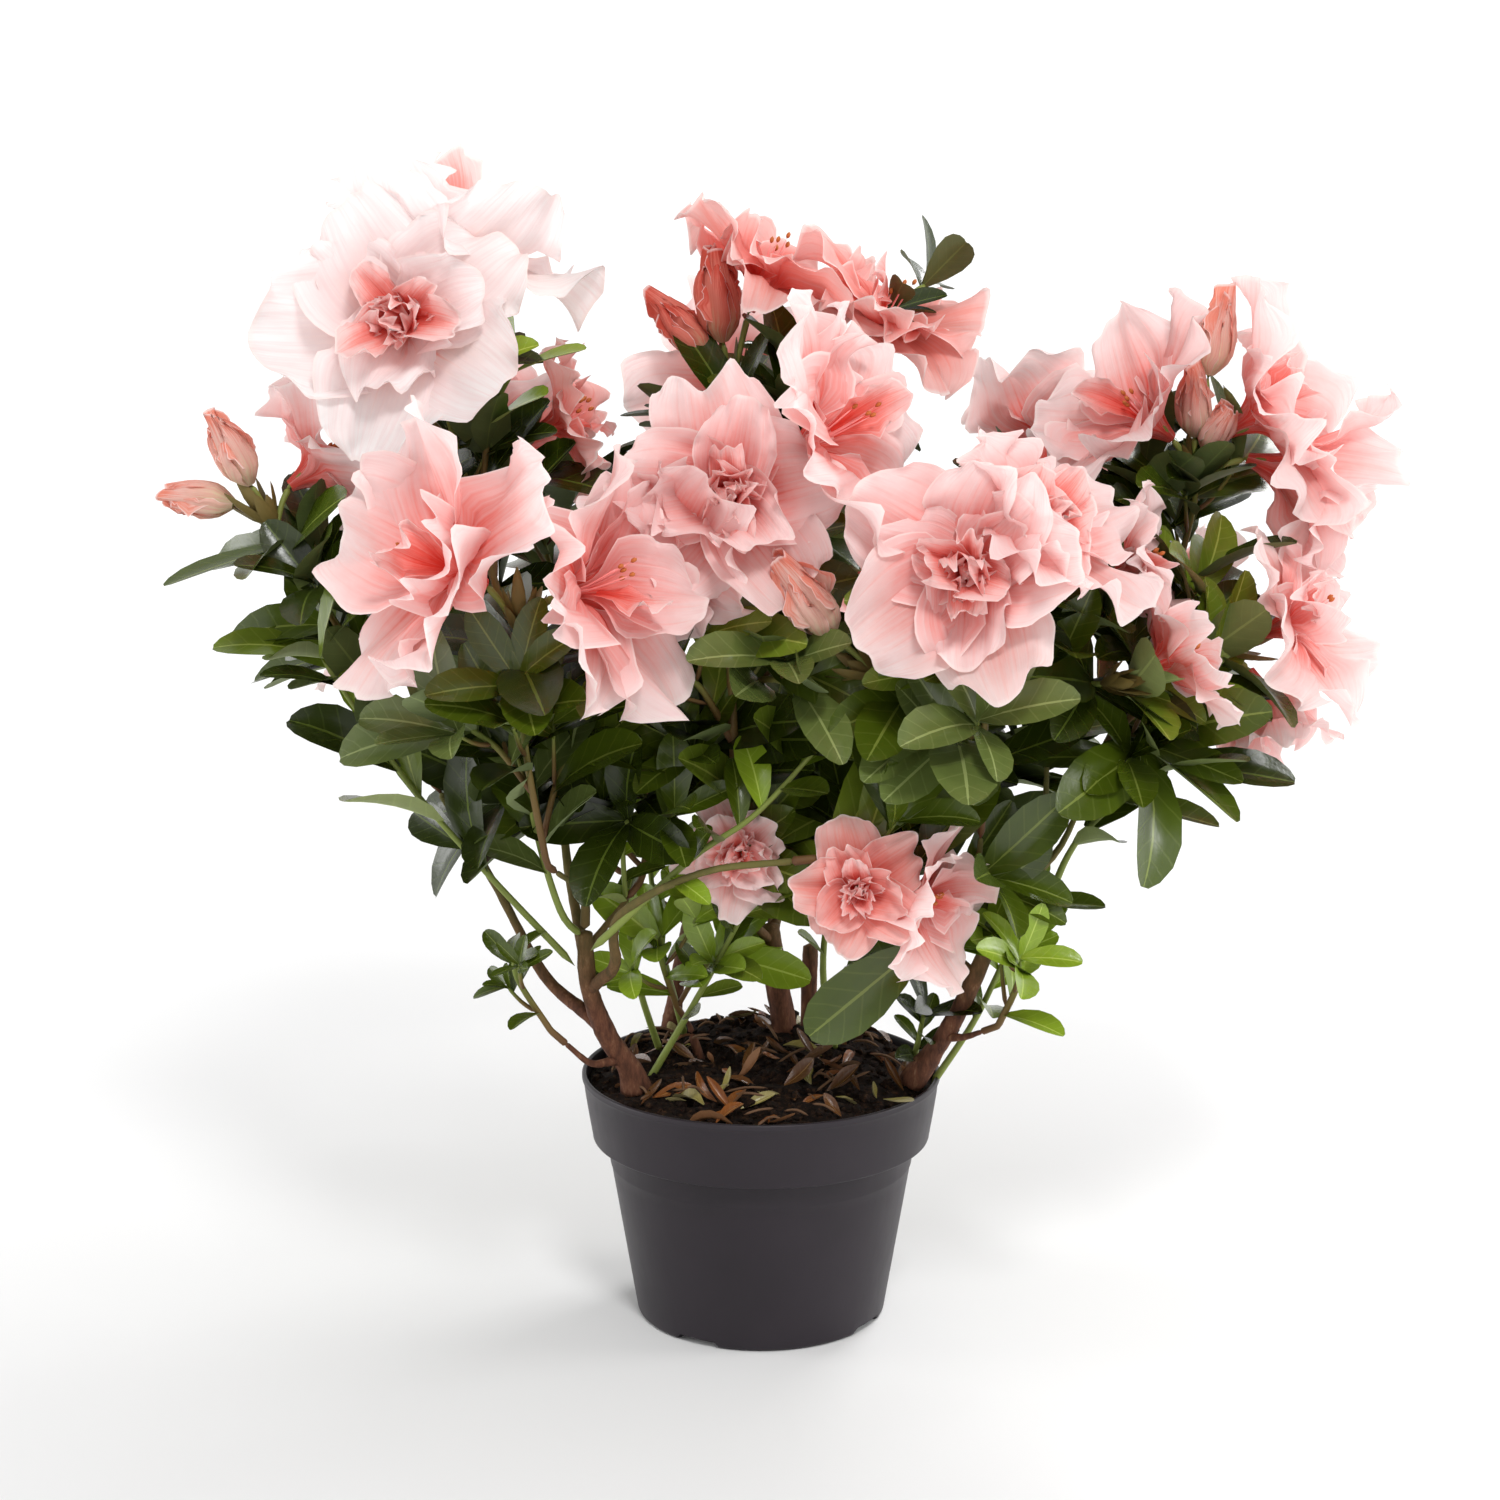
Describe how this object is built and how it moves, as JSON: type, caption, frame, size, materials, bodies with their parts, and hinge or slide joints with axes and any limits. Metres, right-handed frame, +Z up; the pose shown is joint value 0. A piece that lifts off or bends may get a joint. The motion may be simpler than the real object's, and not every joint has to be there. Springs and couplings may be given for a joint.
{
  "type": "potted azalea",
  "caption": "Azalea shrub in flower in a round nursery pot: woody stems, boughs and masses of leaf and blossom.",
  "frame": {"origin": "middle of the pot's flat underside, on the ground it stands on", "axes": "+Z up along the pot's axis, the plant's front faces -Y, +X to the right seen from the front"},
  "size_m": [0.4658, 0.3536, 0.4543],
  "materials": {
    "pot_plastic": "satin",
    "potting_soil": "matte",
    "bark": "matte",
    "foliage": "satin"
  },
  "bodies": {
    "root": {"back_centre": "foliage", "back_left": "foliage", "back_right": "foliage", "bough_back_centre": "bark", "bough_back_left": "bark", "bough_back_right": "bark", "bough_centre_front": "bark", "bough_far_left": "bark", "bough_left_front": "bark", "bough_left_shoots": "bark", "bough_left_top": "bark", "bough_low_back": "bark", "bough_low_back_left": "bark", "bough_low_back_right": "bark", "bough_low_centre": "bark", "bough_low_front": "bark", "bough_low_left": "bark", "bough_low_right": "bark", "bough_right_front": "bark", "bough_right_low": "bark", "bough_right_mid": "bark", "bough_right_shoots": "bark", "bough_right_top": "bark", "bough_top_centre": "bark", "bough_young_shoots": "bark", "centre_front": "foliage", "far_left": "foliage", "left_front": "foliage", "left_shoots": "foliage", "left_top": "foliage", "low_back": "foliage", "low_back_left": "foliage", "low_back_right": "foliage", "low_centre": "foliage", "low_front": "foliage", "low_left": "foliage", "low_right": "foliage", "pot": "pot_plastic", "pruned_stub": "bark", "right_front": "foliage", "right_low": "foliage", "right_mid": "foliage", "right_shoots": "foliage", "right_top": "foliage", "soil": "potting_soil", "stem_back_left": "bark", "stem_back_right": "bark", "stem_centre": "bark", "stem_left": "bark", "stem_right": "bark", "stem_young": "bark", "top_centre": "foliage", "young_shoots": "foliage"}
  },
  "joints": []
}
